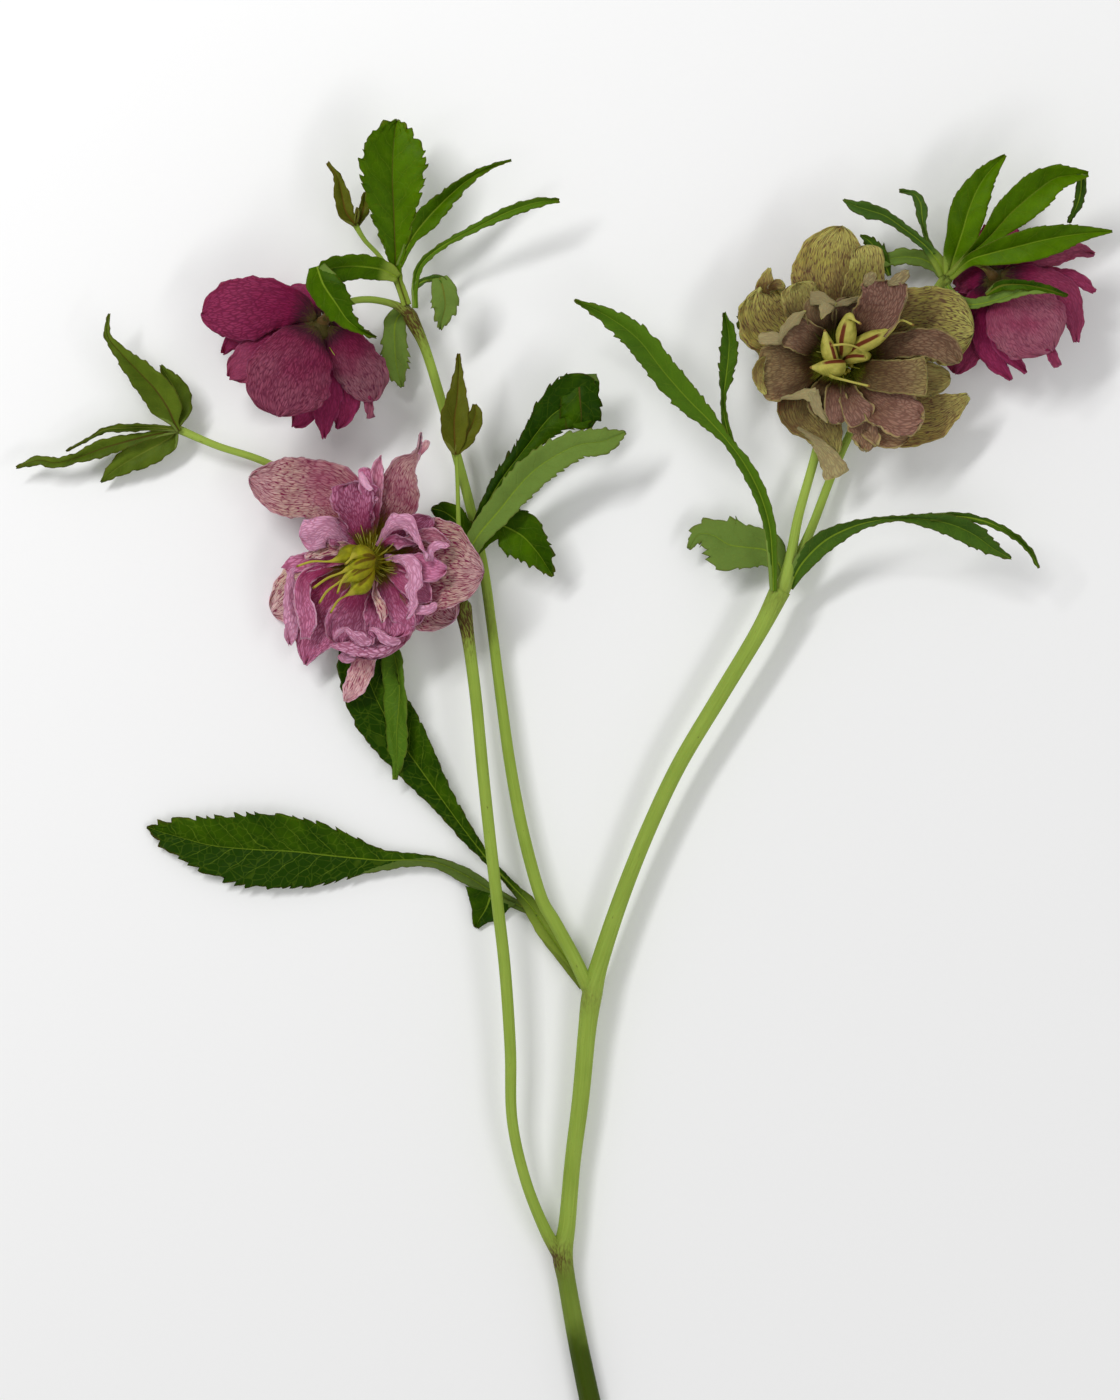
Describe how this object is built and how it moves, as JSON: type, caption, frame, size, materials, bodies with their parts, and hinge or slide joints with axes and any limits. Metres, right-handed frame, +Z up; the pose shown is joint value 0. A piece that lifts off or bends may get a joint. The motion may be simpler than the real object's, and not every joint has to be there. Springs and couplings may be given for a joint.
{
  "type": "hellebore flower",
  "caption": "Cut stem of double hellebore with forked stalks, open and nodding many-petalled blooms, buds and toothed leaves, lying down.",
  "frame": {"origin": "middle of the base of the bounding box, on the surface that the cut stem lies on", "axes": "+Z up from the surface, +Y along the stem from its cut end towards the blooms, +X to the right seen from above"},
  "size_m": [0.3295, 0.3885, 0.0383],
  "materials": {
    "stem": "smooth green skin, red-brown at the forks, with a soft sheen",
    "leaf": "dark green leaf with a pale midrib, lit face slightly glossy, underside grey-green",
    "bract": "olive-brown bract with a red midrib",
    "carpel": "pale yellow-green, waxy",
    "tepal_pink": "pink petal-like sepals with dark red-violet branching veins and cream patches, matt satin",
    "tepal_olive": "olive and mauve-brown petal-like sepals with fine brown veins, matt satin",
    "tepal_magenta": "deep magenta petal-like sepals with darker veins, matt satin"
  },
  "bodies": {
    "root": {"stem": "stem", "leaf_lower": "leaf", "leaf_node_light": "leaf", "leaf_node_dark": "leaf", "leaf_upper_tall": "leaf", "leaf_upper_narrow": "leaf", "leaf_upper_hanging": "leaf", "leaf_right_long": "leaf", "leaf_right_grey": "leaf", "leaf_right_arching": "leaf", "leaf_behind_olive": "leaf", "leaves_right_whorl": "leaf", "leaf_cluster_curled": "leaf", "leaf_cluster_drooping": "leaf", "spray_left": "leaf", "bud_beside_pink": "bract", "bud_upper_left": "bract", "flower_pink": "tepal_pink", "flower_pink_centre": "carpel", "flower_olive": "tepal_olive", "flower_olive_centre": "carpel", "flower_upper_left": "tepal_magenta", "flower_upper_left_centre": "carpel", "flower_upper_right": "tepal_magenta", "flower_upper_right_centre": "carpel"}
  },
  "joints": []
}
